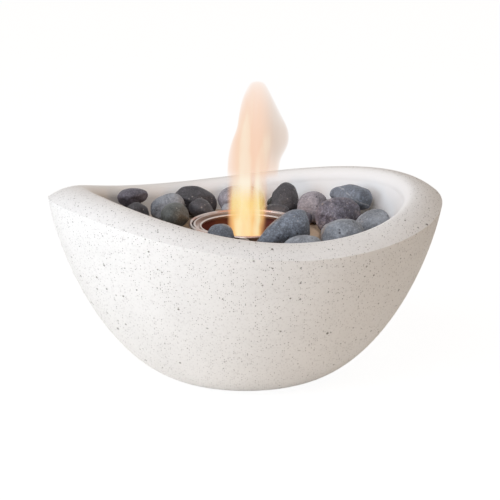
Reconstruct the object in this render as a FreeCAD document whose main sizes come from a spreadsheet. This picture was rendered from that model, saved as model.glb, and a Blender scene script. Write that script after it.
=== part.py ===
import FreeCAD, Part
import math
import os

from FreeCAD import Placement, Rotation, Vector
import Sketcher

# A tabletop fire bowl that burns gel fuel from an open can.
# Millimetres and degrees. +Z is up, the origin is the middle of the footprint on the table,
# +X runs along the long axis of the bowl and -Y faces the viewer.

DRIVING_SIZES = {
    # Bowl shell. Its plan is a circle stretched along X and drawn in along Y.
    "plan_stretch": 0.047,
    "plan_squeeze": 0.082,
    "base_radius": 36.0,
    "wall_top_radius": 132.9,
    "wall_top_height": 142.0,
    "wall_belly": 1.49,
    "wall_flare": 0.52,
    "rim_height": 124.0,
    "wave_rise": 9.9,
    "wave_bearing": 24.6,
    "rim_tilt_x": -1.25,
    "rim_tilt_y": -2.0,
    "third_wave": -1.0,
    "lip_width": 18.9,
    "lip_swell": 1.8,
    "lip_rise": 7.3,
    "lip_edge": 9.0,
    "wall_thickness": 15.0,
    "floor_height": 15.0,
    # Deck that closes the shell and carries the pebbles.
    "tray_radius": 98.0,
    "tray_height": 100.0,
    "ledge_width": 11.0,
    "deck_thickness": 12.0,
    "deck_gap": 0.4,
    "collar_radius": 53.0,
    "collar_rise": 4.0,
    "collar_round": 2.5,
    "hole_overrun": 1.0,
    # Steel cup that holds the fuel can.
    "cup_radius": 39.0,
    "cup_wall": 0.8,
    "cup_bead": 1.2,
    "cup_top": 112.6,
    "cup_hole_gap": 0.6,
    # Fuel can, opened.
    "can_radius": 36.3,
    "can_wall": 0.5,
    "can_seam": 0.8,
    "seam_depth": 3.2,
    "can_height": 96.0,
    "mouth_radius": 32.0,
    "mouth_curl": 0.9,
    "mouth_drop": 1.0,
    "groove_depth": 2.6,
    "gel_height": 62.0,
    "gel_gap": 0.1,
    # Feet under the shell.
    "foot_radius": 6.0,
    "foot_circle": 24.0,
    "foot_height": 2.0,
    "foot_proud": 0.8,
    "foot_gap": 0.1,
    # Pebbles.
    "pebble_gap": 0.4,
    "pebble_clearance": 1.0,
}
FOOT_COUNT = 4

# Pebbles in the order in which they are laid on the deck. Each has its bearing from +X,
# its reach from the cup (0) to the wall (1), its length, width and height, the bearing of
# its long axis and how far that axis leans up.
PEBBLES = [
    ("under_right", 29, 0.90, 24, 18, 11, 110, 0),
    ("front_slate", -62, 0.00, 42, 22, 22, 17, 22),
    ("front_dome", -110, 0.00, 19, 18, 19, 0, 0),
    ("left_green", 166, 0.05, 26, 19, 19, 70, 0),
    ("back_teardrop", 127, 0.05, 22, 15, 14, -40, -12),
    ("back_pale", 102, 0.00, 17, 12, 11, 0, 0),
    ("back_upright", 65, 0.55, 28, 22, 22, 70, 55),
    ("back_speckled", 119, 0.95, 33, 23, 22, 5, -8),
    ("back_plum", 93, 0.80, 35, 23, 22, 0, 0),
    ("side_plum", 15, 0.38, 33, 24, 26, 10, 8),
    ("back_grey", 43, 0.45, 24, 19, 24, -10, 0),
    ("near_plum", 31, 0.00, 17, 12, 10, -50, 0),
    ("back_slate", 29, 1.00, 32, 20, 18, -30, -4),
    ("side_slate", -4, 1.00, 28, 20, 21, 25, 25),
    ("side_green", -29, 0.75, 32, 22, 24, 5, 0),
    ("front_flat", -60, 0.85, 30, 19, 20, 8, 0),
    ("under_left", 156, 1.00, 18, 14, 15, 60, 0),
    ("left_plum", 156, 1.00, 23, 15, 13, 20, 4),
    ("left_pale", 143, 0.57, 25, 19, 23, 8, -5),
    ("left_dark", 166, 0.72, 20, 15, 22, 45, 0),
    ("left_end", 168, 1.00, 16, 12, 10, 60, 0),
    ("left_outer", -170, 0.95, 28, 18, 20, 100, 0),
    ("left_near", -165, 0.27, 20, 15, 11, 110, 0),
    ("corner_outer", -150, 0.90, 32, 22, 20, 125, 0),
    ("corner_near", -140, 0.38, 20, 16, 11, 40, 0),
    ("corner_wide", -126, 0.95, 28, 20, 19, -30, 0),
    ("front_outer", -102, 0.95, 26, 17, 17, 0, 0),
    ("front_right", -82, 1.00, 24, 16, 15, 10, 0),
    ("right_near", -8, 0.25, 20, 14, 13, 80, 0),
    ("right_wall", 12, 1.00, 20, 14, 15, 100, 0),
    ("right_edge", -18, 1.00, 17, 13, 13, 70, 0),
    ("front_edge", -39, 1.00, 15, 11, 12, 45, 0),
    ("back_edge", 53, 1.00, 16, 13, 13, -40, 0),
    ("back_low", 62, 0.00, 20, 13, 11, -30, 0),
    ("back_near", 83, 0.00, 12, 11, 11, 0, 0),
    ("back_wall", 73, 1.00, 18, 13, 13, -15, 0),
    ("left_middle", 177, 0.52, 22, 16, 12, 60, 0),
    ("front_small", -92, 0.00, 15, 11, 9, 90, 0),
    ("front_middle", -84, 0.48, 17, 11, 12, 0, 0),
]

RING_POINTS = 32
WALL_STEPS = (0.0, 0.012, 0.04, 0.09, 0.17, 0.28, 0.42, 0.58, 0.74, 0.88, 1.0)
LIP_STEPS = (0.0, 0.12, 0.3, 0.5, 0.75, 1.0)
EDGE_ANGLES = (0, 30, 60, 90)
CAVITY_STEPS = (0.0, 0.1, 0.22, 0.38, 0.6, 1.0)
SEAT_SHARES = [math.sin(math.pi / 2 * step / 12) * 0.9999 for step in range(13)]
SEAT_STEPS = 36

doc = FreeCAD.newDocument("fire_bowl")
sheet = doc.addObject("Spreadsheet::Sheet", "Sizes")


def fill_sheet():
    """Write every driving size to the sheet under its own alias."""
    sizes = dict(DRIVING_SIZES)
    for name, bearing, reach, long_size, wide, tall, turn, lean in PEBBLES:
        sizes[name + "_long"] = long_size
        sizes[name + "_wide"] = wide
        sizes[name + "_tall"] = tall
    for row, (alias, value) in enumerate(sizes.items(), start=1):
        sheet.set("A%d" % row, alias)
        sheet.set("B%d" % row, str(value))
        sheet.setAlias("B%d" % row, alias)
    doc.recompute()


def size(alias):
    return float(getattr(sheet, alias))


# Bowl shell

def wall_radius(height):
    """Mean outer radius of the shell at a height."""
    fall = 1.0 - min(height / size("wall_top_height"), 1.0)
    spread = (1.0 - fall ** size("wall_belly")) ** size("wall_flare")
    return size("base_radius") + (size("wall_top_radius") - size("base_radius")) * spread


def rim_height(angle):
    """Height of the rim's outer crease, which rises twice round the bowl and tilts a little."""
    bearing = math.radians(size("wave_bearing"))
    height = size("rim_height") + size("wave_rise") * math.cos(2.0 * (angle - bearing))
    height += size("rim_tilt_x") * math.cos(angle) + size("rim_tilt_y") * math.sin(angle)
    return height + size("third_wave") * math.sin(3.0 * angle)


def lip_width(angle):
    return size("lip_width") - size("lip_swell") * math.cos(angle)


def plan_point(radius, angle, height):
    """A point on a ring of mean radius, stretched to the bowl's oval plan."""
    return Vector(radius * (1.0 + size("plan_stretch")) * math.cos(angle),
                  radius * (1.0 - size("plan_squeeze")) * math.sin(angle), height)


def ring(radius_and_height):
    """A closed smooth wire whose radius and height are functions of the angle."""
    points = []
    for step in range(RING_POINTS):
        angle = 2.0 * math.pi * step / RING_POINTS
        radius, height = radius_and_height(angle)
        points.append(plan_point(radius, angle, height))
    curve = Part.BSplineCurve()
    curve.interpolate(Points=points, PeriodicFlag=True)
    return Part.Wire([curve.toShape()])


def level_ring(radius, height):
    return ring(lambda angle: (radius, height))


def wall_ring(share):
    """A ring of the outer wall, from the base (0) to the crease (1)."""
    base = size("foot_proud")

    def place(angle):
        rise = share * (rim_height(angle) - base)
        return wall_radius(rise), base + rise

    return ring(place)


def crease(angle):
    height = rim_height(angle)
    return wall_radius(height - size("foot_proud")), height


def lip_ring(share):
    """A ring of the lip's crown, from the crease (0) to the crest (1)."""
    def place(angle):
        radius, height = crease(angle)
        crown = size("lip_rise") * (1.0 - (1.0 - share) ** 2)
        return radius - share * lip_width(angle), height + crown

    return ring(place)


def edge_ring(turn):
    """A ring of the soft inner edge, from the crest (0 degrees) to the inner wall (90)."""
    def place(angle):
        radius, height = crease(angle)
        across = lip_width(angle) + size("lip_edge") * math.sin(math.radians(turn))
        fall = size("lip_edge") * (1.0 - math.cos(math.radians(turn)))
        return radius - across, height + size("lip_rise") - fall

    return ring(place)


def loft_faces(rings, straight=False):
    return Part.makeLoft(rings, False, straight).Faces


def cavity_rings():
    """The hollow under the deck, from the shell's floor to the ledge."""
    low = size("floor_height")
    high = size("tray_height") - size("deck_thickness")
    ledge = size("tray_radius") - size("ledge_width")
    rings = []
    for share in CAVITY_STEPS:
        height = low + share * (high - low)
        inner = wall_radius(height - size("foot_proud")) - size("wall_thickness")
        rings.append(level_ring(min(inner, ledge), height))
    rings[-1] = level_ring(ledge, high)
    return rings


def foot_places():
    """The middles of the feet on the footprint."""
    places = []
    for index in range(FOOT_COUNT):
        angle = 2.0 * math.pi * (index + 0.5) / FOOT_COUNT
        places.append(Vector(size("foot_circle") * math.cos(angle),
                             size("foot_circle") * math.sin(angle), 0.0))
    return places


def make_bowl_shell():
    """The cast shell with its waved lip, its ledge and its recesses for the feet."""
    outer = [wall_ring(share) for share in WALL_STEPS]
    lip = [lip_ring(share) for share in LIP_STEPS]
    edge = [edge_ring(turn) for turn in EDGE_ANGLES]
    tray = level_ring(size("tray_radius"), size("tray_height"))
    ledge = level_ring(size("tray_radius"), size("tray_height") - size("deck_thickness"))
    cavity = cavity_rings()

    faces = loft_faces(outer)
    faces += loft_faces(lip)
    faces += loft_faces(edge)
    faces += loft_faces([edge[-1], tray], True)
    faces += loft_faces([tray, ledge], True)
    faces.append(Part.makeFace([ledge, cavity[-1]], "Part::FaceMakerBullseye"))
    faces += loft_faces(cavity, True)
    faces.append(Part.Face(cavity[0]))
    faces.append(Part.Face(outer[0]))

    shell = Part.makeShell(faces)
    shell.sewShape()
    solid = Part.Solid(shell)
    if solid.Volume < 0:
        solid.reverse()
    recess_depth = size("foot_height") - size("foot_proud")
    for place in foot_places():
        corner = place + Vector(0, 0, size("foot_proud"))
        solid = solid.cut(Part.makeCylinder(size("foot_radius") + size("foot_gap"),
                                            recess_depth, corner))

    shell_object = doc.addObject("Part::Feature", "bowl_shell")
    shell_object.Shape = solid
    shell_object.Label = "bowl_shell"
    shell_object.Placement = Placement()
    return shell_object


# Deck

def make_burner_deck():
    """The cast oval slab on the ledge, with a raised collar round the cup's hole."""
    outline = doc.addObject("Part::Ellipse", "deck_outline")
    radius = "(Sizes.tray_radius - Sizes.deck_gap)"
    outline.setExpression("MajorRadius", radius + " * (1 + Sizes.plan_stretch)")
    outline.setExpression("MinorRadius", radius + " * (1 - Sizes.plan_squeeze)")
    slab = doc.addObject("Part::Extrusion", "deck_slab")
    slab.Base = outline
    slab.DirMode = "Custom"
    slab.Dir = Vector(0, 0, 1)
    slab.Solid = True
    slab.setExpression("LengthFwd", "Sizes.deck_thickness")

    boss = doc.addObject("Part::Cylinder", "deck_boss")
    boss.setExpression("Radius", "Sizes.collar_radius")
    height = "Sizes.deck_thickness + Sizes.collar_rise"
    boss.setExpression("Height", height)
    blank = doc.addObject("Part::Fuse", "deck_blank")
    blank.Base = slab
    blank.Tool = boss

    hole = doc.addObject("Part::Cylinder", "deck_hole")
    hole.setExpression("Radius", "Sizes.cup_radius + Sizes.cup_bead + Sizes.cup_hole_gap")
    hole.setExpression("Height", height + " + 2 * Sizes.hole_overrun")
    hole.Placement = Placement(Vector(0, 0, -size("hole_overrun")), Rotation())
    drilled = doc.addObject("Part::Cut", "deck_drilled")
    drilled.Base = blank
    drilled.Tool = hole
    doc.recompute()

    deck = doc.addObject("Part::Fillet", "burner_deck")
    deck.Base = drilled
    top = size("deck_thickness") + size("collar_rise")
    rounding = min(size("collar_round"), 0.9 * size("collar_rise"))
    edges = []
    for number, edge in enumerate(drilled.Shape.Edges, start=1):
        level = abs(edge.BoundBox.ZMin - top) < 0.01 and abs(edge.BoundBox.ZMax - top) < 0.01
        outer = edge.BoundBox.XMax > size("collar_radius") - 0.01
        if level and outer:
            edges.append((number, rounding, rounding))
    deck.Edges = edges
    deck.Label = "burner_deck"
    ledge_height = size("tray_height") - size("deck_thickness")
    deck.Placement = Placement(Vector(0, 0, ledge_height), Rotation())
    return deck


# Turned pieces

def origin_plane(body, role):
    for feature in body.Origin.OriginFeatures:
        if feature.Role == role:
            return feature
    raise RuntimeError("no plane " + role)


def turned_body(name, profile, height):
    """A body turned about Z from a closed profile of (radius, height) expressions."""
    body = doc.addObject("PartDesign::Body", name)
    body.Label = name
    sketch = body.newObject("Sketcher::SketchObject", name + "_profile")
    sketch.AttachmentSupport = [(origin_plane(body, "XZ_Plane"), "")]
    sketch.MapMode = "FlatFace"
    doc.recompute()

    corners = []
    for radius, level in profile:
        corners.append(Vector(value_of(radius), value_of(level), 0))
    count = len(corners)
    for index, corner in enumerate(corners):
        sketch.addGeometry(Part.LineSegment(corner, corners[(index + 1) % count]), False)
    for index in range(count):
        sketch.addConstraint(Sketcher.Constraint("Coincident", index, 2, (index + 1) % count, 1))
    for index, (radius, level) in enumerate(profile):
        hold_corner(sketch, index, "X", radius, corners[index].x)
        hold_corner(sketch, index, "Y", level, corners[index].y)
    doc.recompute()

    turned = body.newObject("PartDesign::Revolution", name + "_turned")
    turned.Profile = sketch
    turned.ReferenceAxis = (sketch, ["V_Axis"])
    turned.Angle = 360.0
    body.Tip = turned
    body.Placement = Placement(Vector(0, 0, height), Rotation())
    doc.recompute()
    return body


def value_of(expression):
    """The number that an expression on the sheet gives."""
    if expression == "0":
        return 0.0
    return float(sheet.evalExpression(expression))


def hold_corner(sketch, line, axis, expression, value):
    """Hold a line's first point at an expression's distance from the sketch's origin."""
    if expression == "0":
        axis_line = {"X": -2, "Y": -1}[axis]
        sketch.addConstraint(Sketcher.Constraint("PointOnObject", line, 1, axis_line))
        return
    number = sketch.addConstraint(Sketcher.Constraint("Distance" + axis, -1, 1, line, 1, value))
    sketch.setExpression("Constraints[%d]" % number, expression)


def add_bead(body, ring_radius, bead_radius, level):
    """A round rolled edge on the body, all three sizes given as expressions."""
    bead = body.newObject("PartDesign::AdditiveTorus", body.Label + "_bead")
    bead.setExpression("Radius1", ring_radius)
    bead.setExpression("Radius2", bead_radius)
    bead.AttachmentSupport = [(origin_plane(body, "XY_Plane"), "")]
    bead.MapMode = "FlatFace"
    bead.setExpression("AttachmentOffset.Base.z", level)
    body.Tip = bead
    doc.recompute()


def round_outside(body, radius, rounding):
    """Round the circular edges of a body at a radius, both given as expressions."""
    base = body.Tip
    reach = value_of(radius)
    names = []
    for number, edge in enumerate(base.Shape.Edges, start=1):
        circle = edge.Curve.TypeId == "Part::GeomCircle"
        if circle and abs(edge.Curve.Radius - reach) < 0.001:
            names.append("Edge%d" % number)
    fillet = body.newObject("PartDesign::Fillet", body.Label + "_rounding")
    fillet.Base = (base, names)
    fillet.setExpression("Radius", rounding)
    body.Tip = fillet
    doc.recompute()


def make_holder_cup():
    """The thin steel cup that stands in the shell and holds the can."""
    wall_top = "Sizes.cup_top - Sizes.floor_height - Sizes.cup_bead"
    inner = "Sizes.cup_radius - Sizes.cup_wall"
    cup = turned_body("holder_cup", [
        ("0", "0"),
        ("Sizes.cup_radius", "0"),
        ("Sizes.cup_radius", wall_top),
        (inner, wall_top),
        (inner, "Sizes.cup_wall"),
        ("0", "Sizes.cup_wall"),
    ], size("floor_height"))
    add_bead(cup, "Sizes.cup_radius", "Sizes.cup_bead", wall_top)
    return cup


def can_base():
    return size("floor_height") + size("cup_wall")


def make_can_body():
    inner = "Sizes.can_radius - Sizes.can_wall"
    top = "Sizes.can_height - 2 * Sizes.seam_depth"
    return turned_body("can_body", [
        (inner, "0"),
        ("Sizes.can_radius", "0"),
        ("Sizes.can_radius", top),
        (inner, top),
    ], can_base() + size("seam_depth"))


def make_can_bottom():
    """The can's end plate with its seam, on which the tube stands."""
    seam_inner = "Sizes.can_radius - Sizes.can_seam"
    seam_outer = "Sizes.can_radius + Sizes.can_seam"
    plate = "Sizes.seam_depth / 2"
    plate_top = "Sizes.seam_depth / 2 + Sizes.can_wall"
    bottom = turned_body("can_bottom", [
        ("0", plate),
        (seam_inner, plate),
        (seam_inner, "0"),
        (seam_outer, "0"),
        (seam_outer, "Sizes.seam_depth"),
        (seam_inner, "Sizes.seam_depth"),
        (seam_inner, plate_top),
        ("0", plate_top),
    ], can_base())
    round_outside(bottom, seam_outer, "Sizes.can_seam * 0.6")
    return bottom


def make_can_mouth():
    """The ring seamed to the can's top, with its groove and the curled mouth."""
    seam_inner = "Sizes.can_radius - Sizes.can_seam"
    seam_outer = "Sizes.can_radius + Sizes.can_seam"
    groove = "Sizes.seam_depth - Sizes.groove_depth"
    under = "Sizes.seam_depth - Sizes.groove_depth - Sizes.can_wall"
    mouth_inner = "Sizes.mouth_radius - Sizes.can_wall / 2"
    mouth_outer = "Sizes.mouth_radius + Sizes.can_wall / 2"
    mouth_top = "Sizes.seam_depth - Sizes.mouth_drop - Sizes.mouth_curl"
    mouth = turned_body("can_mouth", [
        (seam_outer, "0"),
        (seam_outer, "Sizes.seam_depth"),
        (seam_inner, "Sizes.seam_depth"),
        (seam_inner, groove),
        (mouth_outer, groove),
        (mouth_outer, mouth_top),
        (mouth_inner, mouth_top),
        (mouth_inner, under),
        (seam_inner, under),
        (seam_inner, "0"),
    ], can_base() + size("can_height") - size("seam_depth"))
    add_bead(mouth, "Sizes.mouth_radius", "Sizes.mouth_curl", mouth_top)
    round_outside(mouth, seam_outer, "Sizes.can_seam * 0.6")
    return mouth


def make_gel_fuel():
    """The block of gel fuel that fills the lower part of the can."""
    gel = doc.addObject("Part::Cylinder", "gel_fuel")
    gel.Label = "gel_fuel"
    gel.setExpression("Radius", "Sizes.can_radius - Sizes.can_wall - Sizes.gel_gap")
    gel.setExpression("Height", "Sizes.gel_height")
    floor = can_base() + size("seam_depth") + size("gel_gap")
    gel.Placement = Placement(Vector(0, 0, floor), Rotation())
    return gel


def make_feet():
    """The thin pads set in the shell's underside."""
    bevel = "Sizes.foot_proud / 2"
    feet = []
    for number, place in enumerate(foot_places(), start=1):
        foot = turned_body("foot_pad_%d" % number, [
            ("0", "0"),
            ("Sizes.foot_radius - " + bevel, "0"),
            ("Sizes.foot_radius", bevel),
            ("Sizes.foot_radius", "Sizes.foot_height"),
            ("0", "Sizes.foot_height"),
        ], 0.0)
        foot.Placement = Placement(place, Rotation())
        feet.append(foot)
    return feet


# Pebbles

class Pebble:
    """An egg of stone with its long axis turned and leaned, laid on what is under it."""

    def __init__(self, name, bearing, reach, turn, lean):
        self.name = name
        self.bearing = math.radians(bearing)
        self.turn = math.radians(turn)
        self.lean = math.radians(lean)
        half_long = size(name + "_long") / 2
        self.half_wide = size(name + "_wide") / 2
        half_tall = size(name + "_tall") / 2
        cosine = math.cos(self.lean)
        sine = math.sin(self.lean)
        self.along = (half_long * cosine) ** 2 + (half_tall * sine) ** 2
        self.upright = (half_long * sine) ** 2 + (half_tall * cosine) ** 2
        self.tilted = (half_long ** 2 - half_tall ** 2) * sine * cosine
        self.spread = (half_long * half_tall) ** 2
        self.place_in_plan(reach)
        self.height = 0.0

    def place_in_plan(self, reach):
        """Put the pebble between the cup's rim and the wall of the tray."""
        side = self.bearing - self.turn
        reach_along = math.sqrt(self.along) * math.cos(side)
        half = math.hypot(reach_along, self.half_wide * math.sin(side))
        across = math.cos(self.bearing) / (1 + size("plan_stretch"))
        deep = math.sin(self.bearing) / (1 - size("plan_squeeze"))
        wall = tray_limit(self.bearing) / math.hypot(across, deep)
        rim = size("cup_radius") + size("cup_bead")
        nearest = rim + size("pebble_clearance") + half
        furthest = wall - size("pebble_clearance") - half
        distance = nearest + reach * (furthest - nearest)
        self.x = distance * math.cos(self.bearing)
        self.y = distance * math.sin(self.bearing)

    def half_height(self, along, across, side):
        """Height above the pebble's middle of its top (1) or underside (-1), or None."""
        bend = self.along / self.spread
        slope = -self.tilted / self.spread * along
        rest = self.upright / self.spread * along ** 2 + (across / self.half_wide) ** 2 - 1
        inside = slope ** 2 - bend * rest
        if inside < 0:
            return None
        return (-slope + side * math.sqrt(inside)) / bend

    def local(self, x, y):
        """Distances of a point in plan along and across the pebble."""
        right = x - self.x
        back = y - self.y
        along = right * math.cos(self.turn) + back * math.sin(self.turn)
        across = back * math.cos(self.turn) - right * math.sin(self.turn)
        return along, across

    def top_at(self, x, y):
        along, across = self.local(x, y)
        top = self.half_height(along, across, 1)
        return None if top is None else self.height + top

    def seat(self, laid):
        """Lower the pebble until it is a small gap above the deck and the laid pebbles."""
        self.height = 0.0
        lowest = 0.0
        for share in SEAT_SHARES:
            for step in range(SEAT_STEPS):
                angle = 2.0 * math.pi * step / SEAT_STEPS
                along = share * math.sqrt(self.along) * math.cos(angle)
                across = share * self.half_wide * math.sin(angle)
                x = self.x + along * math.cos(self.turn) - across * math.sin(self.turn)
                y = self.y + along * math.sin(self.turn) + across * math.cos(self.turn)
                support = deck_height(x, y)
                for other in laid:
                    top = other.top_at(x, y)
                    if top is not None:
                        support = max(support, top)
                underside = self.half_height(along, across, -1)
                lowest = max(lowest, support + size("pebble_gap") - underside)
        self.height = lowest

    def make(self):
        """The pebble as an ellipsoid whose radii come from the sheet."""
        stone = doc.addObject("Part::Ellipsoid", "pebble_" + self.name)
        stone.Label = "pebble_" + self.name
        stone.setExpression("Radius1", "Sizes.%s_tall / 2" % self.name)
        stone.setExpression("Radius2", "Sizes.%s_long / 2" % self.name)
        stone.setExpression("Radius3", "Sizes.%s_wide / 2" % self.name)
        turned = Rotation(Vector(0, 0, 1), math.degrees(self.turn))
        leaned = Rotation(Vector(0, 1, 0), -math.degrees(self.lean))
        stone.Placement = Placement(Vector(self.x, self.y, self.height), turned * leaned)
        return stone


def tray_limit(angle):
    """Mean radius that a pebble may reach: the tray's, or the lip's inner edge if nearer."""
    radius, height = crease(angle)
    return min(size("tray_radius"), radius - lip_width(angle) - size("lip_edge"))


def deck_height(x, y):
    """Height of the deck or of its collar under a point in plan."""
    on_collar = math.hypot(x, y) < size("collar_radius")
    return size("tray_height") + (size("collar_rise") if on_collar else 0.0)


def make_pebbles():
    laid = []
    for name, bearing, reach, long_size, wide, tall, turn, lean in PEBBLES:
        pebble = Pebble(name, bearing, reach, turn, lean)
        pebble.seat(laid)
        laid.append(pebble)
    return [pebble.make() for pebble in laid]


# Checks and export

def check_document(pieces):
    """Stop if any object failed or any piece isn't a sound solid."""
    for item in doc.Objects:
        if "Invalid" in item.State or "Error" in item.State:
            raise RuntimeError("failed object " + item.Name)
    for piece in pieces:
        shape = piece.Shape
        if shape.isNull() or not shape.isValid() or len(shape.Solids) != 1:
            raise RuntimeError("unsound piece " + piece.Label)


def export(pieces):
    os.makedirs("parts", exist_ok=True)
    for piece in pieces:
        piece.Shape.exportStep(os.path.join("parts", piece.Label + ".step"))


fill_sheet()
pieces = [
    make_bowl_shell(),
    make_burner_deck(),
    make_holder_cup(),
    make_can_body(),
    make_can_bottom(),
    make_can_mouth(),
    make_gel_fuel(),
]
pieces += make_feet()
pieces += make_pebbles()
doc.recompute()
check_document(pieces)
export(pieces)
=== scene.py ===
import math
import random

import bpy
import numpy as np
from bpy.props import (
    FloatProperty,
    FloatVectorProperty,
    IntProperty,
    PointerProperty,
)
from mathutils import Matrix, Vector


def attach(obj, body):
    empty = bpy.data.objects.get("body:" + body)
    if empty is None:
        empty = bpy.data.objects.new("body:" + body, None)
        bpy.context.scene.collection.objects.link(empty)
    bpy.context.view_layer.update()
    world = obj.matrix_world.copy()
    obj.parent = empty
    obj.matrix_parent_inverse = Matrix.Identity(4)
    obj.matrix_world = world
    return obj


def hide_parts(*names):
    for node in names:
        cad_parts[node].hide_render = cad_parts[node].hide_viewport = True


bl_info = {
    "name": "Tabletop Fire Bowl",
    "version": (1, 0, 0),
    "blender": (4, 5, 0),
    "location": "View3D > Sidebar > Fire Bowl",
    "description": "Finishes, river stones, flame and stage for a cast tabletop fire bowl",
    "category": "Object",
}

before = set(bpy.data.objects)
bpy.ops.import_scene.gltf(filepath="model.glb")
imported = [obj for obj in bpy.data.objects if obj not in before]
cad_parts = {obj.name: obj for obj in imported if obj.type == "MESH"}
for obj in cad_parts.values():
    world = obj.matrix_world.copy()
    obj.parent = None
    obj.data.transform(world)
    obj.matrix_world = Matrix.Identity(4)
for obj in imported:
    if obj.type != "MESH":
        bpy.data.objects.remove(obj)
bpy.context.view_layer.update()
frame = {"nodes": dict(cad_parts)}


# Settings

def tint(name, description, colour):
    """A colour setting without alpha."""
    return FloatVectorProperty(name=name, description=description, subtype="COLOR", size=3,
                               min=0.0, max=1.0, default=colour)


def length(name, description, metres):
    """A length setting in metres."""
    return FloatProperty(name=name, description=description, default=metres, min=0.0,
                         subtype="DISTANCE", unit="LENGTH")


def power(name, description, watts):
    """A lamp's power setting in watts."""
    return FloatProperty(name=name, description=description, default=watts, min=0.0,
                         subtype="POWER", unit="POWER")


def fraction(name, description, default, low, high):
    """A setting without a unit, within its limits."""
    return FloatProperty(name=name, description=description, default=default, min=low,
                         max=high, subtype="FACTOR")


class BowlLook(bpy.types.PropertyGroup):
    cast: tint("Cast stone", "Colour of the pale cast body", (0.93, 0.925, 0.915))
    mottle: tint("Mottle", "Colour of the faint mottle in the cast body", (0.45, 0.44, 0.43))
    speck: tint("Specks", "Colour of the dark grains in the cast body", (0.17, 0.155, 0.15))
    pit: tint("Pores", "Colour of the open pores' shaded inside", (0.1, 0.08, 0.07))
    inner: tint("Inner wall", "Colour of the smooth wall above the pebbles", (0.97, 0.968, 0.965))
    # The deck is the bowl's pale cast. Its dark warm colour is painted shade between the stones and
    # painted glow of the flame. The sand's warm tint is painted glow too, over real grains.
    deck: tint("Deck", "Colour of the deck under the pebbles", (0.66, 0.5, 0.36))
    sand: tint("Sand", "Colour of the pale sand in the deck", (0.8, 0.7, 0.58))
    fine_grain: length("Fine grains", "Spacing of the finest dark grains", 0.0013)
    coarse_grain: length("Coarse grains", "Spacing of the larger dark grains", 0.0036)
    pit_spacing: length("Pits", "Spacing of the open pores", 0.0062)
    deck_grain: length("Deck grains", "Spacing of the dark grains in the deck", 0.003)
    smooth_from: length("Smooth from", "Mean radius inside which the wall is smooth", 0.1105)


class MetalLook(bpy.types.PropertyGroup):
    steel: tint("Steel", "Colour of the cup's steel", (0.5, 0.46, 0.44))
    tin: tint("Tin", "Colour of the can's outside", (0.56, 0.51, 0.48))
    heat: tint("Heat tint", "Colour of the metal next to the flame", (0.42, 0.2, 0.13))
    soot: tint("Soot", "Colour of the can's inside", (0.12, 0.038, 0.04))
    gel: tint("Gel", "Colour of the fuel gel", (0.55, 0.2, 0.06))
    pad: tint("Foot pads", "Colour of the foot pads", (0.06, 0.06, 0.06))


class StoneLook(bpy.types.PropertyGroup):
    slate: tint("Slate", "Blue-grey stones", (0.17, 0.195, 0.24))
    plum: tint("Plum", "Purple-grey stones", (0.13, 0.122, 0.155))
    lilac: tint("Lilac", "Pale purple-grey stones", (0.4, 0.38, 0.43))
    ink: tint("Ink", "Nearly black stones", (0.05, 0.047, 0.054))
    moss: tint("Moss", "Green-grey stones", (0.1, 0.11, 0.107))
    ash: tint("Ash", "Pale grey stones", (0.35, 0.38, 0.43))
    speck: tint("Specks", "Colour of the pale specks", (0.42, 0.39, 0.38))
    pit: tint("Pits", "Colour of the small dark pits", (0.015, 0.015, 0.02))
    patch: tint("Pale patches", "Pale patches of the mottled stone", (0.47, 0.41, 0.43))
    gap: tint("Dark patches", "Dark patches of the mottled stone", (0.03, 0.028, 0.04))
    ochre: tint("Ochre", "Ochre patches of the mottled stone", (0.5, 0.34, 0.14))
    vein: tint("Vein", "Pale vein in the slate stone at the back", (0.55, 0.57, 0.6))
    speck_spacing: length("Speck spacing", "Spacing of the pale specks", 0.0024)
    pit_spacing: length("Pit spacing", "Spacing of the small dark pits", 0.0032)
    fit: fraction("Fit", "Size of a stone against its solid", 0.99, 0.8, 1.0)
    unevenness: fraction("Unevenness", "How far a stone leaves its egg", 0.16, 0.0, 0.4)
    seed: IntProperty(name="Seed", description="Start of the stones' random forms", default=7)


class FlameLook(bpy.types.PropertyGroup):
    veil: tint("Veil", "Colour of the thin gas high up", (0.93, 0.62, 0.44))
    smoke: tint("Smoke", "Colour of the greyer gas at the right", (0.68, 0.53, 0.43))
    edge: tint("Edge", "Colour of the thin gas near the can", (1.0, 0.5, 0.2))
    glow: tint("Glow", "Darker colour of the dense gas", (1.0, 0.76, 0.27))
    core: tint("Core", "Brighter colour of the dense gas", (1.0, 0.96, 0.62))
    heart: tint("Heart", "Paler colour of the dense gas over the rim", (1.0, 0.98, 0.86))
    light: tint("Light", "Colour of the light that the flame gives", (1.0, 0.52, 0.22))
    power: power("Power", "Power of the flame's light", 0.028)


class StageLook(bpy.types.PropertyGroup):
    distance: length("Camera distance", "From the camera to the point it looks at", 1.416)
    elevation: FloatProperty(name="Camera elevation", description="Angle above the horizon",
                             default=math.radians(15.06), subtype="ANGLE", unit="ROTATION")
    lens: FloatProperty(name="Lens", description="Focal length on a 36 mm frame",
                        default=144.4, min=10.0, unit="CAMERA")
    key: tint("Key light", "Colour of the main lamp at the left", (0.75, 0.88, 1.0))
    key_width: length("Key light width", "Width of the main lamp", 0.85)
    key_power: power("Key light power", "Power of the main lamp", 15.4)
    top: tint("Top light", "Colour of the lamp over the front", (0.92, 0.93, 1.0))
    top_width: length("Top light width", "Width of the lamp over the front", 1.0)
    top_power: power("Top light power", "Power of the lamp over the front", 9.0)
    shade: tint("Shade", "Colour of the light that fills the shadows", (0.35, 0.294, 0.238))
    bounce: tint("Bounce", "Colour of the floor as it lights the bowl", (0.97, 0.92, 0.86))
    catch: tint("Catch", "How much light the floor that is seen catches", (0.16, 0.16, 0.16))
    white: fraction("White", "Brightness of the floor that is seen, in shadow", 0.94, 0.0, 1.0)


# Shader nodes as Python expressions

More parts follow.
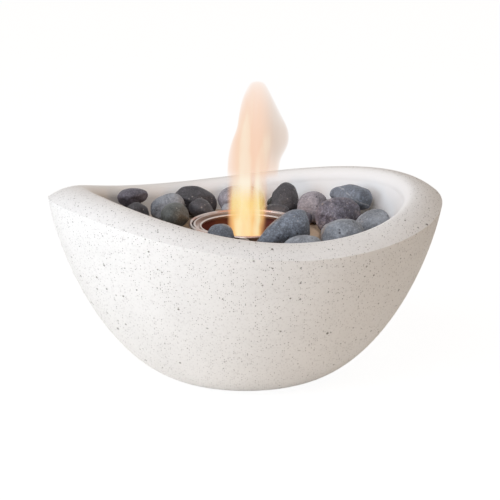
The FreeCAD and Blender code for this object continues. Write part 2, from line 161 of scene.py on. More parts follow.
class Socket:
    """An output of a shader node. Sums and products of it add Math nodes."""

    def __init__(self, finish, output):
        self.finish = finish
        self.output = output

    def math(self, operation, first, second):
        return self.finish.node("ShaderNodeMath", {"operation": operation}, {0: first, 1: second})

    def __add__(self, other):
        return self.math("ADD", self, other)

    def __radd__(self, other):
        return self.math("ADD", other, self)

    def __sub__(self, other):
        return self.math("SUBTRACT", self, other)

    def __rsub__(self, other):
        return self.math("SUBTRACT", other, self)

    def __mul__(self, other):
        return self.math("MULTIPLY", self, other)

    def __rmul__(self, other):
        return self.math("MULTIPLY", other, self)

    def __truediv__(self, other):
        return self.math("DIVIDE", self, other)

    def __rtruediv__(self, other):
        return self.math("DIVIDE", other, self)

    def __pow__(self, other):
        return self.math("POWER", self, other)

    def rise(self, low, high):
        """0 under low, 1 over high and a soft step between."""
        settings = {"interpolation_type": "SMOOTHSTEP"}
        values = {"Value": self, "From Min": low, "From Max": high}
        return self.finish.node("ShaderNodeMapRange", settings, values)


def fill_ramp(ramp, stops):
    """Give a colour ramp its stops, the first at 0 and the last at 1."""
    ramp.elements[0].color = (*stops[0][1], 1.0)
    ramp.elements[1].color = (*stops[-1][1], 1.0)
    for place, colour in stops[1:-1]:
        ramp.elements.new(place).color = (*colour, 1.0)


class NodeTree:
    """The nodes of a material or a world under construction."""

    def __init__(self, owner, last_node):
        owner.use_nodes = True
        self.owner = owner
        self.last_node = last_node
        self.tree = owner.node_tree
        self.tree.nodes.clear()

    def node(self, kind, settings, values, output=0):
        """Add a node; settings are its properties and values feed its sockets."""
        node = self.tree.nodes.new(kind)
        for name, value in settings.items():
            if name == "stops":
                fill_ramp(node.color_ramp, value)
            else:
                setattr(node, name, value)
        for key, value in values.items():
            if isinstance(value, Socket):
                self.tree.links.new(value.output, node.inputs[key])
            elif node.inputs[key].type == "RGBA":
                node.inputs[key].default_value = (*value, 1.0)
            else:
                node.inputs[key].default_value = value
        return Socket(self, node.outputs[output])

    def seen(self):
        """1 for what the camera and mirrors see directly, and 0 for what is lit."""
        camera_ray = self.node("ShaderNodeLightPath", {}, {}, "Is Camera Ray")
        glossy_ray = self.node("ShaderNodeLightPath", {}, {}, "Is Glossy Ray")
        return camera_ray.math("MAXIMUM", camera_ray, glossy_ray)

    def close(self, shader, socket="Surface"):
        """Link the finished shader to the last node."""
        end = self.tree.nodes.new(self.last_node)
        self.tree.links.new(shader.output, end.inputs[socket])
        return self.owner


class Finish(NodeTree):
    """A procedural material under construction."""

    def __init__(self, name):
        super().__init__(bpy.data.materials.new(name), "ShaderNodeOutputMaterial")
        self.place = self.node("ShaderNodeTexCoord", {}, {}, "Object")

    def mix(self, factor, first, second):
        """A colour between two colours."""
        return self.node("ShaderNodeMix", {"data_type": "RGBA"}, {0: factor, 6: first, 7: second}, 2)

    def moved(self, offset, stretch=(1.0, 1.0, 1.0)):
        """The piece's own coordinates, moved and stretched."""
        return self.node("ShaderNodeMapping", {}, {
            "Vector": self.place, "Location": offset, "Scale": stretch})

    def noise(self, scale, detail=3.0, place=None, rough=0.5):
        """Soft noise over the piece, or over moved coordinates."""
        return self.node("ShaderNodeTexNoise", {}, {
            "Vector": place or self.place, "Scale": scale, "Detail": detail, "Roughness": rough})

    def grains(self, spacing, share, size, place=None):
        """Round grains of mixed sizes: 1 on a grain and 0 between them."""
        where = place or self.place
        values = {"Vector": where, "Scale": 1.0 / spacing}
        distance = self.node("ShaderNodeTexVoronoi", {}, values, "Distance")
        chance = self.node("ShaderNodeTexVoronoi", {}, values, "Color")
        parts = self.node("ShaderNodeSeparateColor", {}, {"Color": chance}, "Red")
        radius = (parts - (1.0 - share)) * (size / share)
        return (radius - distance).rise(0.0, 0.12)

    def axis(self, name):
        """The piece's own X, Y or Z in metres."""
        return self.node("ShaderNodeSeparateXYZ", {}, {"Vector": self.place}, name)

    def bump(self, height, strength, distance):
        """A normal for shallow relief."""
        return self.node("ShaderNodeBump", {}, {
            "Height": height, "Strength": strength, "Distance": distance})

    def surface(self, colour, roughness, normal, metallic=0.0):
        """Close the material with one principled surface."""
        return self.close(self.node("ShaderNodeBsdfPrincipled", {}, {
            "Base Color": colour, "Roughness": roughness, "Normal": normal,
            "Metallic": metallic}))


def scaled(colour, factor):
    """A darker or lighter version of a colour."""
    return [min(1.0, factor * part) for part in colour]


def axis_distance(finish, along=1.0, across=1.0):
    """Distance from the upright axis, with an oval's two half lengths evened out."""
    x = finish.axis("X") * (1.0 / along)
    y = finish.axis("Y") * (1.0 / across)
    return (x * x + y * y) ** 0.5


def dress(piece, material):
    """Give a piece its material over every face."""
    piece.data.materials.clear()
    piece.data.materials.append(material)


# Finishes of the bowl and its deck

# Half lengths of the bowl's oval plan against its mean radius.
PLAN_ALONG = 1.047
PLAN_ACROSS = 0.918

# Heights between which the inner wall turns smooth, and half the width of its edge at the lip.
SMOOTH_HEIGHTS = (0.09, 0.099)
SMOOTH_BORDER = 0.002


def cast_finish(look):
    """Pale cast stone with dark grains and open pores, smooth on the inner wall."""
    finish = Finish("cast_bowl")
    radius = axis_distance(finish, PLAN_ALONG, PLAN_ACROSS)
    inside = 1.0 - radius.rise(look.smooth_from - SMOOTH_BORDER, look.smooth_from + SMOOTH_BORDER)
    inside = inside * finish.axis("Z").rise(*SMOOTH_HEIGHTS)
    outside = 1.0 - inside
    fine = finish.grains(look.fine_grain, 0.85, 0.4)
    coarse = finish.grains(look.coarse_grain, 0.42, 0.23, finish.moved((0.31, 0.17, 0.05)))
    pits = finish.grains(look.pit_spacing, 0.45, 0.22, finish.moved((0.72, 0.4, 0.9)))
    cloud = finish.noise(28.0, 4.0)
    mottle = finish.noise(520.0, 3.0, rough=0.7)
    tone = finish.mix(cloud.rise(0.35, 0.7), look.cast, scaled(look.cast, 0.965))
    tone = finish.mix(mottle.rise(0.5, 0.75) * 0.3 * outside, tone, look.mottle)
    tone = finish.mix(inside, tone, look.inner)
    tone = finish.mix(fine * 0.62 * outside, tone, look.speck)
    tone = finish.mix(coarse * 0.88 * outside, tone, look.speck)
    tone = finish.mix(pits * 0.92 * outside, tone, look.pit)
    relief = (mottle * 0.25 - fine * 0.3 - coarse * 0.6 - pits * 1.4) * outside
    normal = finish.bump(relief, 0.5, 0.0006)
    return finish.surface(tone, 0.78 - inside * 0.2, normal)


def deck_finish(look):
    """Sandy cast slab of the bowl's pale cast, painted darker and warmer: painted shade between the
    stones and painted glow of the flame.
    """
    finish = Finish("cast_deck")
    grain = finish.noise(300.0, 5.0, rough=0.7)
    cloud = finish.noise(40.0, 3.0)
    specks = finish.grains(look.deck_grain, 0.4, 0.3)
    tone = finish.mix(cloud.rise(0.3, 0.7), look.deck, scaled(look.deck, 0.8))
    tone = finish.mix(grain.rise(0.45, 0.75) * 0.3, tone, look.sand)
    tone = finish.mix(specks * 0.6, tone, look.speck)
    return finish.surface(tone, 0.85, finish.bump(grain - specks * 0.5, 0.5, 0.0006))


# Finishes of the metal

# Heights between which the heat tint of the cup starts, and the radii and heights between
# which the burnt inside of the can ends.
TINT_HEIGHTS = (0.1, 0.113)
BURNT_RADII = (0.03585, 0.03625)
BURNT_HEIGHTS = (0.1065, 0.1085)


def steel_finish(look):
    """Turned steel with fine rings and a heat tint towards the top."""
    finish = Finish("cup_steel")
    height = finish.axis("Z")
    rings = finish.noise(60.0, 2.0, finish.moved((0.0, 0.0, 0.0), (1.0, 1.0, 30.0)))
    cloud = finish.noise(90.0, 3.0)
    tinted = height.rise(*TINT_HEIGHTS) * cloud.rise(0.3, 0.7)
    tone = finish.mix(tinted * 0.75, look.steel, look.heat)
    rough = 0.24 + rings * 0.14 + cloud * 0.08
    return finish.surface(tone, rough, finish.bump(rings, 0.12, 0.0002), 1.0)


def tin_finish(look):
    """Tin plate that is bright outside and burnt brown inside."""
    finish = Finish("can_tin")
    cloud = finish.noise(110.0, 4.0)
    stain = finish.noise(38.0, 3.0)
    burnt = 1.0 - axis_distance(finish).rise(*BURNT_RADII)
    burnt = burnt * (1.0 - finish.axis("Z").rise(*BURNT_HEIGHTS))
    tone = finish.mix(cloud.rise(0.3, 0.75) * 0.35, look.tin, look.heat)
    inner = finish.mix(stain.rise(0.48, 0.8), look.soot, scaled(look.heat, 0.55))
    tone = finish.mix(burnt, tone, inner)
    rough = 0.27 + cloud * 0.15 + burnt * 0.25
    metal = 1.0 - burnt * 0.6
    return finish.surface(tone, rough, finish.bump(cloud, 0.1, 0.0003), metal)


def gel_finish(look):
    """Wet fuel gel with a rippled top."""
    finish = Finish("fuel_gel")
    ripple = finish.noise(90.0, 2.0)
    tone = finish.mix(ripple.rise(0.3, 0.7), look.gel, scaled(look.gel, 0.5))
    return finish.surface(tone, 0.16 + ripple * 0.1, finish.bump(ripple, 0.4, 0.001))


def pad_finish(look):
    """Dull rubber."""
    finish = Finish("foot_rubber")
    grain = finish.noise(900.0, 2.0)
    tone = finish.mix(grain.rise(0.3, 0.7), look.pad, scaled(look.pad, 1.6))
    return finish.surface(tone, 0.82 + grain * 0.1, finish.bump(grain, 0.3, 0.0002))


# River stones

# For each finish: the setting that holds its colour, how light its mottle is, and the
# shares of pale specks and of dark pits.
STONE_FINISHES = {
    "slate": ("slate", 1.8, 0.25, 0.3),
    "veined": ("slate", 1.8, 0.2, 0.25),
    "pitted": ("slate", 2.2, 0.1, 0.7),
    "plum": ("plum", 1.8, 0.3, 0.25),
    "mottled": ("plum", 2.8, 0.45, 0.35),
    "lilac": ("lilac", 1.5, 0.4, 0.3),
    "ink": ("ink", 2.4, 0.5, 0.2),
    "moss": ("moss", 1.8, 0.2, 0.3),
    "ash": ("ash", 1.4, 0.3, 0.4),
}

# Stones whose form or finish is their own. Each has its finish, how much it narrows along
# its length and upwards, and how boxy it is.
STONES = {
    "front_slate": ("pitted", 1.2, -0.1, 0.0),
    "front_dome": ("slate", 0.0, 0.0, 0.1),
    "left_green": ("moss", 0.3, -0.1, 0.05),
    "back_teardrop": ("ink", -0.6, 0.0, 0.0),
    "back_pale": ("ash", 0.1, 0.0, 0.1),
    "back_upright": ("ink", -0.1, -0.45, 0.15),
    "back_speckled": ("ink", -0.25, -0.15, 0.12),
    "back_plum": ("lilac", 0.0, -0.1, 0.1),
    "side_plum": ("mottled", -0.15, -0.15, 0.12),
    "back_grey": ("lilac", 0.1, -0.3, 0.1),
    "near_plum": ("plum", 0.1, 0.0, 0.1),
    "back_slate": ("veined", 0.15, -0.1, 0.3),
    "side_slate": ("ash", 0.1, -0.1, 0.1),
    "side_green": ("ash", 0.1, -0.2, 0.05),
    "front_flat": ("ash", 0.1, -0.1, 0.1),
    "left_plum": ("plum", -0.35, 0.0, 0.05),
    "left_pale": ("ash", 0.4, -0.2, 0.1),
    "left_dark": ("ink", 0.0, -0.15, 0.1),
    "left_end": ("ink", 0.1, 0.0, 0.1),
}
PLAIN_FINISHES = ("slate", "plum", "ink", "moss", "ash", "plum", "slate")


# The vein's plane: its slope, its level, how far it bends and half its width, in metres.
VEIN_SLOPE = 0.62
VEIN_LEVEL = 0.174
VEIN_BEND = 0.008
VEIN_HALF_WIDTH = 0.000775


def mottled_patches(finish, tone, look):
    """Pale, dark and ochre patches over a stone's own colour."""
    patch = finish.noise(110.0, 6.0, finish.moved((0.11, 0.04, 0.0)), 0.8)
    tone = finish.mix(patch.rise(0.54, 0.62) * 0.55, tone, look.patch)
    tone = finish.mix((1.0 - patch.rise(0.34, 0.44)) * 0.6, tone, look.gap)
    ochre = finish.noise(60.0, 3.0, finish.moved((0.5, 0.1, 0.3)))
    return finish.mix(ochre.rise(0.64, 0.69) * 0.5, tone, look.ochre)


def pale_vein(finish, tone, look, mottle):
    """A thin, broken, slightly bent vein across a stone."""
    bend = finish.noise(45.0, 3.0)
    line = finish.axis("X") * VEIN_SLOPE + finish.axis("Z") + bend * VEIN_BEND
    near = (line - VEIN_LEVEL) * (line - VEIN_LEVEL)
    vein = (1.0 - near.rise(0.0, VEIN_HALF_WIDTH ** 2)) * mottle.rise(0.35, 0.6)
    return finish.mix(vein * 0.5, tone, look.vein)


def stone_finish(name, look):
    """Dull river stone: cloudy, gritty, with pale specks and small dark pits."""
    setting, lift, pale_share, dark_share = STONE_FINISHES[name]
    base = getattr(look, setting)
    finish = Finish("pebble_" + name)
    cloud = finish.noise(60.0, 4.0, rough=0.6)
    mottle = finish.noise(330.0, 5.0, rough=0.7)
    grit = finish.noise(850.0, 2.0, rough=0.7)
    light = scaled(base, lift)
    tone = finish.mix(cloud.rise(0.35, 0.68), scaled(base, 0.5), base)
    tone = finish.mix(mottle.rise(0.46, 0.72) * 0.65, tone, light)
    tone = finish.mix(grit.rise(0.5, 0.75) * 0.6, tone, light)
    tone = finish.mix((1.0 - grit.rise(0.28, 0.5)) * 0.5, tone, scaled(base, 0.4))
    pale = finish.grains(look.speck_spacing, pale_share, 0.34, finish.moved((0.2, 0.5, 0.1)))
    dark = finish.grains(look.pit_spacing, dark_share, 0.3)
    tone = finish.mix(pale * 0.5, tone, look.speck)
    tone = finish.mix(dark * 0.8, tone, look.pit)
    if name == "mottled":
        tone = mottled_patches(finish, tone, look)
    if name == "veined":
        tone = pale_vein(finish, tone, look, mottle)
    relief = mottle * 0.6 + grit * 0.35 + cloud * 0.4 - dark * 1.1
    return finish.surface(tone, 0.4 + grit * 0.3, finish.bump(relief, 0.6, 0.0006))


def only(piece):
    """Make a piece the only selected and the active object."""
    bpy.ops.object.select_all(action="DESELECT")
    piece.select_set(True)
    bpy.context.view_layer.objects.active = piece


def apply_modifier(piece, kind, **settings):
    """Add a modifier with its settings and apply it, unless its factor leaves it idle."""
    if settings.get("factor") == 0:
        return
    modifier = piece.modifiers.new(kind, kind)
    for name, value in settings.items():
        setattr(modifier, name, value)
    only(piece)
    bpy.ops.object.modifier_apply(modifier=modifier.name)


def egg_of(node):
    """Middle, axes and half lengths of a CAD egg: along it, across it and upwards."""
    points = np.array([vertex.co for vertex in frame["nodes"][node].data.vertices])
    low = points.min(axis=0)
    high = points.max(axis=0)
    middle = (low + high) / 2
    offsets = points - middle
    axes = [Vector(column) for column in np.linalg.eigh(offsets.T @ offsets)[1].T]
    up = max(axes, key=lambda axis: abs(axis.z))
    axes.remove(up)
    halves = {id(axis): max(abs(offsets @ np.array(axis))) for axis in axes}
    along = max(axes, key=lambda axis: halves[id(axis)])
    if up.z < 0:
        up = -up
    if along.x < 0:
        along = -along
    across = up.cross(along)
    sizes = [float(max(abs(offsets @ np.array(axis)))) for axis in (along, across, up)]
    return Vector(middle), (along, across, up), sizes


def cut_facets(piece, dice):
    """Cut soft facets into the ball, as water and other stones do."""
    only(piece)
    bpy.ops.object.mode_set(mode="EDIT")
    for _ in range(5):
        bearing = dice.uniform(0.0, 2.0 * math.pi)
        slope = dice.uniform(-0.8, 0.8)
        flat = math.sqrt(1.0 - slope * slope)
        facing = Vector((flat * math.cos(bearing), flat * math.sin(bearing), slope))
        bpy.ops.mesh.select_all(action="SELECT")
        bpy.ops.mesh.bisect(plane_co=facing * dice.uniform(0.82, 0.95), plane_no=facing,
                            use_fill=True, clear_outer=True)
    bpy.ops.object.mode_set(mode="OBJECT")


def model_stone(name, look, order):
    """One river stone with the size, place and turn of its CAD egg."""
    dice = random.Random(look.seed * 1000 + order)
    node = "pebble_" + name
    plain = (PLAIN_FINISHES[order % len(PLAIN_FINISHES)], dice.uniform(-0.3, 0.3),
             dice.uniform(-0.2, 0.1), dice.uniform(0.0, 0.2))
    finish, taper, peak, boxy = STONES.get(name, plain)
    bpy.ops.object.select_all(action="DESELECT")
    bpy.ops.mesh.primitive_ico_sphere_add(subdivisions=4, radius=1.0)
    stone = bpy.context.active_object
    stone.name = "stone_" + name
    cut_facets(stone, dice)
    apply_modifier(stone, "CAST", cast_type="CUBOID", factor=boxy)
    apply_modifier(stone, "SIMPLE_DEFORM", deform_method="TAPER", deform_axis="X", factor=taper)
    apply_modifier(stone, "SIMPLE_DEFORM", deform_method="TAPER", deform_axis="Z", factor=peak)
    apply_modifier(stone, "REMESH", mode="VOXEL", voxel_size=0.055)
    clouds = bpy.data.textures.new("lumps", "CLOUDS")
    clouds.noise_scale = 0.9
    stone.location = (dice.uniform(-50, 50), dice.uniform(-50, 50), dice.uniform(-50, 50))
    apply_modifier(stone, "DISPLACE", texture=clouds, texture_coords="GLOBAL",
                   strength=look.unevenness, mid_level=0.5)
    apply_modifier(stone, "SMOOTH", factor=0.5, iterations=14)
    place_stone(stone, node, look)
    only(stone)
    bpy.ops.object.shade_smooth()
    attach(stone, "bowl")
    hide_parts(node)
    return stone, finish


def place_stone(stone, node, look):
    """Fit the stone to its egg and leave its own object at the origin."""
    middle, axes, halves = egg_of(node)
    only(stone)
    bpy.ops.object.origin_set(type="ORIGIN_GEOMETRY", center="BOUNDS")
    bpy.context.view_layer.update()
    stone.dimensions = [2.0 * look.fit * half for half in halves]
    turn = Matrix(axes).transposed()
    stone.rotation_mode = "QUATERNION"
    stone.rotation_quaternion = turn.to_quaternion()
    stone.location = middle
    bpy.ops.object.transform_apply(location=True, rotation=True, scale=True)
    bpy.ops.object.mode_set(mode="EDIT")
    bpy.ops.mesh.select_all(action="SELECT")
    bpy.ops.mesh.normals_make_consistent(inside=False)
    bpy.ops.object.mode_set(mode="OBJECT")


# Flame

# Outline of the flame: height, left and right edge, in millimetres.
FLAME_RINGS = (
    (90, -11, 13), (104, -13, 17), (116, -13.5, 20), (128, -13.5, 22), (138, -13.5, 22.5),
    (147, -13.4, 23), (153, -13.2, 23.6), (158.7, -12.8, 24.6), (164.5, -11.8, 28.1),
    (170, -10.4, 30.3), (176, -7.9, 30.5), (181.5, -6.1, 28.8), (187, -5.4, 25.9),
    (192.8, -4.4, 23), (198.5, -3.3, 20.2), (204, -1.2, 17.4), (209.5, 1.5, 14.6), (213, 4, 12),
)

# Soft wisps of dense gas in it: height, middle and half width in millimetres, and density.
FLAME_BODY = (
    (100, -0.5, 15.5, 1.0), (113, -0.5, 16, 1.0), (124, -0.5, 16, 1.1), (136, -0.5, 15.5, 0.8),
    (147, -1.5, 13.5, 0.5), (159, -2, 13, 0.45), (170, -2.5, 11, 0.38), (181, -1.5, 9.5, 0.3),
    (193, 1, 7.5, 0.24), (204, 3.5, 6, 0.18), (212, 5, 4, 0.0),
)
FLAME_CORE = (
    (100, -1, 8, 0.5), (113, -2, 9, 0.6), (124, -1, 7, 0.7), (136, 0, 6.5, 1.0),
    (147, 0, 6, 1.0), (159, 0, 6, 0.9), (170, 0, 5.5, 0.6), (181, 1.5, 5, 0.3),
    (193, 3, 4.5, 0.15), (212, 5, 4, 0.0),
)
FLAME_RIGHT = (
    (100, 8, 7, 0.6), (113, 8.5, 7, 0.7), (124, 9, 7.5, 0.8), (136, 9, 8, 0.6),
    (147, 9, 7, 0.55), (159, 11.5, 7, 0.4), (170, 14.5, 6.5, 0.36), (181, 15.5, 5.5, 0.18),
    (190, 16, 4, 0.05), (212, 16, 4, 0.0),
)

# Density of each wisp and of the thin gas over the rim, per metre.
WISPS = ((FLAME_BODY, 260.0), (FLAME_CORE, 600.0), (FLAME_RIGHT, 420.0))
THIN_GAS = 60.0

# Millimetres of a wisp's half width, or of its way to one side, that fill a colour channel.
WISP_REACH = 20.0

# Heights between which the flame changes, in metres: its orange foot ends, the dense gas
# turns paler, the edge turns from orange to the veil's colour, the smoke at the right starts,
# and the thin gas starts. The smoke also needs its place along X.
FOOT_HEIGHTS = (0.112, 0.128)
HEART_HEIGHTS = (0.126, 0.142)
VEIL_HEIGHTS = (0.125, 0.15)
SMOKE_HEIGHTS = (0.14, 0.165)
SMOKE_PLACES = (0.008, 0.022)
THIN_HEIGHTS = (0.143, 0.152)

FLAME_LIGHT_PLACE = (0.003, 0.0, 0.128)
FLAME_LIGHT_RADIUS = 0.012


def model_flame():
    """The flame's outside: a disc drawn upwards ring by ring and rounded."""
    bpy.ops.object.select_all(action="DESELECT")
    low, left, right = FLAME_RINGS[0]
    start = Vector(((left + right) / 2000, 0.0, low / 1000))
    bpy.ops.mesh.primitive_circle_add(vertices=20, radius=(right - left) / 2000,
                                      fill_type="NGON", location=start)
    flame = bpy.context.active_object
    flame.name = "flame"
    bpy.ops.object.transform_apply(location=True, rotation=False, scale=False)
    bpy.ops.object.mode_set(mode="EDIT")
    bpy.ops.mesh.select_all(action="SELECT")
    middle = start
    for (_, old_left, old_right), (high, left, right) in zip(FLAME_RINGS, FLAME_RINGS[1:]):
        goal = Vector(((left + right) / 2000, 0.0, high / 1000))
        grow = (right - left) / (old_right - old_left)
        bpy.ops.mesh.extrude_region_move(TRANSFORM_OT_translate={"value": goal - middle})
        bpy.ops.transform.resize(value=(grow, grow, 1.0), center_override=goal)
        middle = goal
    bpy.ops.mesh.select_all(action="SELECT")
    bpy.ops.transform.resize(value=(1.0, 0.85, 1.0), center_override=(0.0, 0.0, 0.0))
    bpy.ops.mesh.normals_make_consistent(inside=False)
    bpy.ops.object.mode_set(mode="OBJECT")
    apply_modifier(flame, "SUBSURF", levels=2, render_levels=2)
    only(flame)
    bpy.ops.object.shade_smooth()
    return flame


def wisp(finish, course):
    """Density of a soft upright wisp that follows its course, and 0 outside it."""
    low, high = course[0][0], course[-1][0]
    stops = [((level - low) / (high - low),
              (0.5 + middle / (2 * WISP_REACH), half / WISP_REACH, dense))
             for level, middle, half, dense in course]
    climbed = (finish.axis("Z") - low / 1000) * (1000 / (high - low))
    colour = finish.node("ShaderNodeValToRGB", {"stops": stops}, {"Fac": climbed})
    middle, half, dense = (
        finish.node("ShaderNodeSeparateColor", {}, {"Color": colour}, channel)
        for channel in ("Red", "Green", "Blue"))
    sway = finish.noise(45.0, 3.0, finish.moved((0.3, 0.1, 0.7), (1.0, 1.0, 0.6))) - 0.5
    across = finish.axis("X") * (1000 / WISP_REACH) + sway * 0.22 + 1.0 - middle * 2.0
    across = across / half
    deep = finish.axis("Y") * (1100 / WISP_REACH) / half
    soft = (1.0 - across * across - deep * deep).rise(0.0, 1.0)
    return soft * soft * dense


def flame_finish(look):
    """Glowing gas with soft wisps. It is seen and mirrored but throws no shadow."""
    finish = Finish("flame_gas")
    height = finish.axis("Z")
    streak = finish.noise(70.0, 3.0, finish.moved((0.0, 0.0, 0.0), (2.2, 2.2, 0.45)))
    thin = height.rise(*THIN_HEIGHTS) * (0.3 + streak * 1.4) * THIN_GAS
    dense = sum(wisp(finish, course) * density for course, density in WISPS)
    dense = dense * streak.rise(0.25, 0.7) * 1.3
    lump = finish.noise(95.0, 2.0, finish.moved((0.2, 0.6, 0.4), (1.4, 1.4, 0.7)))
    tone = finish.mix((dense + lump * 400.0).rise(330.0, 620.0), look.glow, look.core)
    tone = finish.mix(height.rise(*HEART_HEIGHTS) * 0.85, tone, look.heart)
    smoky = finish.axis("X").rise(*SMOKE_PLACES) * height.rise(*SMOKE_HEIGHTS)
    outer = finish.mix(height.rise(*VEIL_HEIGHTS), look.edge, look.veil)
    outer = finish.mix(smoky, outer, look.smoke)
    foot = 1.0 - height.rise(*FOOT_HEIGHTS)
    inner = dense.rise(60.0, 350.0) * foot + dense.rise(20.0, 190.0) * (1.0 - foot)
    tone = finish.mix(inner, outer, tone)
    density = (thin + dense) * finish.seen()
    veil = finish.node("ShaderNodeVolumeAbsorption", {}, {"Color": BLACK, "Density": density})
    gas = finish.node("ShaderNodeEmission", {}, {"Color": tone, "Strength": density})
    finish.owner.cycles.volume_step_rate = 0.25
    return finish.close(finish.node("ShaderNodeAddShader", {}, {0: veil, 1: gas}), "Volume")


# Stage

# Places, directions and widths, in metres.
BOWL_MIDDLE = Vector((0.0, 0.0, 0.09))
KEY_PLACE = Vector((-1.448, -0.977, 0.525))
TOP_PLACE = Vector((-0.5, -0.9, 1.2))
CAMERA_TARGET = Vector((0.0029, 0.0, 0.0923))
DOWN = Vector((0.0, 0.0, -1.0))
FLOOR_WIDTH = 12.0
SENSOR_WIDTH_MM = 36.0

WHITE = (1.0, 1.0, 1.0)
BLACK = (0.0, 0.0, 0.0)


def stand(name, data, place, facing):
    """Put a lamp or a camera in the scene, at its place and facing a direction."""
    holder = bpy.data.objects.new(name, data)
    bpy.context.scene.collection.objects.link(holder)
    holder.location = place
    holder.rotation_mode = "QUATERNION"
    holder.rotation_quaternion = facing.to_track_quat("-Z", "Y")
    return holder


def lamp(name, place, width, watts, colour):
    """A square lamp that faces the bowl."""
    light = bpy.data.lights.new(name, "AREA")
    light.shape = "SQUARE"
    light.size = width
    light.energy = watts
    light.color = colour
    stand(name, light, place, BOWL_MIDDLE - place)


def floor_finish(look):
    """White to the camera with a faint shadow, and a warm white that lights the bowl."""
    finish = Finish("stage_floor")
    bounce = finish.node("ShaderNodeBsdfDiffuse", {}, {"Color": look.bounce})
    catch = finish.node("ShaderNodeBsdfDiffuse", {}, {"Color": look.catch})
    white = finish.node("ShaderNodeEmission", {}, {"Color": WHITE, "Strength": look.white})
    both = finish.node("ShaderNodeAddShader", {}, {0: catch, 1: white})
    values = {0: finish.seen(), 1: bounce, 2: both}
    return finish.close(finish.node("ShaderNodeMixShader", {}, values))


def studio_world(shade):
    """A white world for what sees it directly and a warm grey one for what it lights."""
    world = bpy.data.worlds.new("studio")
    nodes = NodeTree(world, "ShaderNodeOutputWorld")
    fill = nodes.node("ShaderNodeBackground", {}, {"Color": shade})
    white = nodes.node("ShaderNodeBackground", {}, {"Color": WHITE})
    values = {0: nodes.seen(), 1: fill, 2: white}
    return nodes.close(nodes.node("ShaderNodeMixShader", {}, values))


def set_camera(scene, look):
    """A long lens in front of the bowl, a little above it."""
    back = Vector((0.0, -math.cos(look.elevation), math.sin(look.elevation)))
    camera = bpy.data.cameras.new("camera")
    camera.lens = look.lens
    camera.sensor_width = SENSOR_WIDTH_MM
    camera.clip_start = 0.05
    camera.clip_end = 30.0
    scene.camera = stand("camera", camera, CAMERA_TARGET + back * look.distance, -back)


# Operators

class FIREBOWL_OT_bowl(bpy.types.Operator):
    """Finish the cast shell, its deck and its foot pads"""

    bl_idname = "firebowl.bowl"
    bl_label = "Cast Bowl"

    def execute(self, context):
        look = context.scene.firebowl_bowl
        nodes = frame["nodes"]
        dress(nodes["bowl_shell"], cast_finish(look))
        dress(nodes["burner_deck"], deck_finish(look))
        pad = pad_finish(context.scene.firebowl_metal)
        for name, node in nodes.items():
            if name.startswith("foot_pad"):
                dress(node, pad)
        return {"FINISHED"}


class FIREBOWL_OT_burner(bpy.types.Operator):
    """Finish the steel cup, the fuel can and its gel"""

    bl_idname = "firebowl.burner"
    bl_label = "Cup and Fuel Can"

    def execute(self, context):
        look = context.scene.firebowl_metal
        nodes = frame["nodes"]
        dress(nodes["holder_cup"], steel_finish(look))
        tin = tin_finish(look)
        for name in ("can_body", "can_bottom", "can_mouth"):
            dress(nodes[name], tin)
        dress(nodes["gel_fuel"], gel_finish(look))
        return {"FINISHED"}


class FIREBOWL_OT_stones(bpy.types.Operator):
    """Model the river stones in place of the plain eggs"""

    bl_idname = "firebowl.stones"
    bl_label = "River Stones"

    def execute(self, context):
        look = context.scene.firebowl_stone
        finishes = {name: stone_finish(name, look) for name in STONE_FINISHES}
        names = sorted(name for name in frame["nodes"] if name.startswith("pebble_"))
        for order, node in enumerate(names):
            stone, finish = model_stone(node[len("pebble_"):], look, order)
            dress(stone, finishes[finish])
        return {"FINISHED"}


class FIREBOWL_OT_flame(bpy.types.Operator):
    """Show the flame over the can and the warm light that it gives"""

    bl_idname = "firebowl.flame"
    bl_label = "Flame"

    def execute(self, context):
        look = context.scene.firebowl_flame
        flame = model_flame()
        dress(flame, flame_finish(look))
        light = bpy.data.lights.new("flame_light", "POINT")
        light.color = look.light
        light.energy = look.power
        light.shadow_soft_size = FLAME_LIGHT_RADIUS
        holder = stand("flame_light", light, FLAME_LIGHT_PLACE, DOWN)
        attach(flame, "can")
        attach(holder, "can")
        return {"FINISHED"}


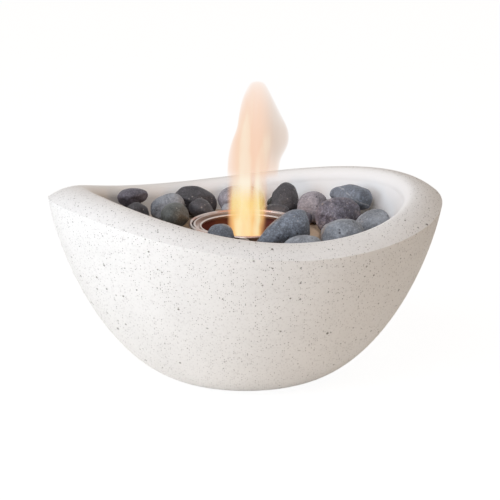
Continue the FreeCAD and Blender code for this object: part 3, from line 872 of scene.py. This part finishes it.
class FIREBOWL_OT_stage(bpy.types.Operator):
    """Lay the white floor and set the lamps, the world and the camera"""

    bl_idname = "firebowl.stage"
    bl_label = "Stage"

    def execute(self, context):
        look = context.scene.firebowl_stage
        bpy.ops.object.select_all(action="DESELECT")
        bpy.ops.mesh.primitive_plane_add(size=FLOOR_WIDTH, location=(0.0, 0.0, 0.0))
        floor = context.active_object
        floor.name = "floor"
        dress(floor, floor_finish(look))
        context.scene.world = studio_world(look.shade)
        lamp("key", KEY_PLACE, look.key_width, look.key_power, look.key)
        lamp("top", TOP_PLACE, look.top_width, look.top_power, look.top)
        set_camera(context.scene, look)
        context.scene.view_settings.view_transform = "Standard"
        return {"FINISHED"}


class FIREBOWL_PT_panel(bpy.types.Panel):
    """Lists the steps and settings of the fire bowl"""

    bl_idname = "FIREBOWL_PT_panel"
    bl_label = "Fire Bowl"
    bl_space_type = "VIEW_3D"
    bl_region_type = "UI"
    bl_category = "Fire Bowl"

    def draw(self, context):
        layout = self.layout
        for operator in OPERATORS:
            layout.operator(operator.bl_idname)
        for name, group in SETTINGS.items():
            box = layout.box()
            settings = getattr(context.scene, name)
            for prop in group.__annotations__:
                box.prop(settings, prop)


SETTINGS = {
    "firebowl_bowl": BowlLook,
    "firebowl_metal": MetalLook,
    "firebowl_stone": StoneLook,
    "firebowl_flame": FlameLook,
    "firebowl_stage": StageLook,
}
OPERATORS = (
    FIREBOWL_OT_bowl,
    FIREBOWL_OT_burner,
    FIREBOWL_OT_stones,
    FIREBOWL_OT_flame,
    FIREBOWL_OT_stage,
)


def register():
    for name, group in SETTINGS.items():
        bpy.utils.register_class(group)
        setattr(bpy.types.Scene, name, PointerProperty(type=group))
    for operator in OPERATORS:
        bpy.utils.register_class(operator)
    bpy.utils.register_class(FIREBOWL_PT_panel)


def unregister():
    bpy.utils.unregister_class(FIREBOWL_PT_panel)
    for operator in reversed(OPERATORS):
        bpy.utils.unregister_class(operator)
    for name, group in reversed(SETTINGS.items()):
        delattr(bpy.types.Scene, name)
        bpy.utils.unregister_class(group)


def main():
    register()
    bpy.ops.firebowl.bowl()
    bpy.ops.firebowl.burner()
    bpy.ops.firebowl.stones()
    bpy.ops.firebowl.flame()
    bpy.ops.firebowl.stage()


if __name__ == "__main__":
    main()
